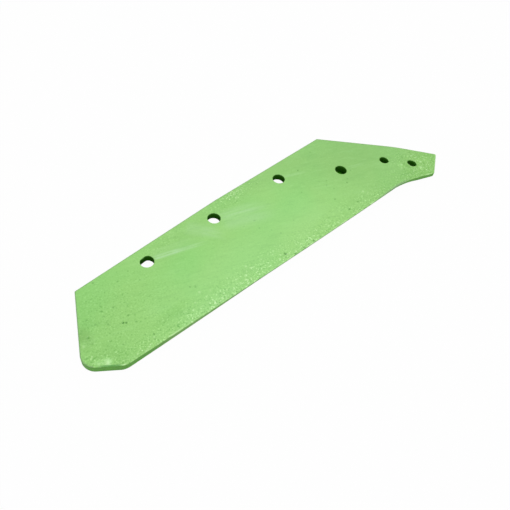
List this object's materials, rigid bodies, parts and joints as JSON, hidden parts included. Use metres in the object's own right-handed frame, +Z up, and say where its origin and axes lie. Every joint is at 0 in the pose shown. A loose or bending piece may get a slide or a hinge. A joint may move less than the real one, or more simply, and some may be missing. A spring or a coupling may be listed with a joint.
{
  "type": "plough share",
  "caption": "Flat plough share with a ground cutting edge, a set-down nose and plain bolt holes for its frog and its point.",
  "frame": {"origin": "middle of the bounding box at floor level, with the share lying at rest on its wing end and on the tip of its set-down nose", "axes": "+X along the wing's back edge from the wing towards the nose, +Y from the cutting edge to the back edge, +Z up out of the working face"},
  "size_m": [0.4702, 0.1322, 0.0122],
  "materials": {
    "green_enamel": "satin gloss light green enamel over rough forged plate, dark inside the holes"
  },
  "bodies": {
    "root": {"plough_share": "green_enamel"}
  },
  "joints": []
}
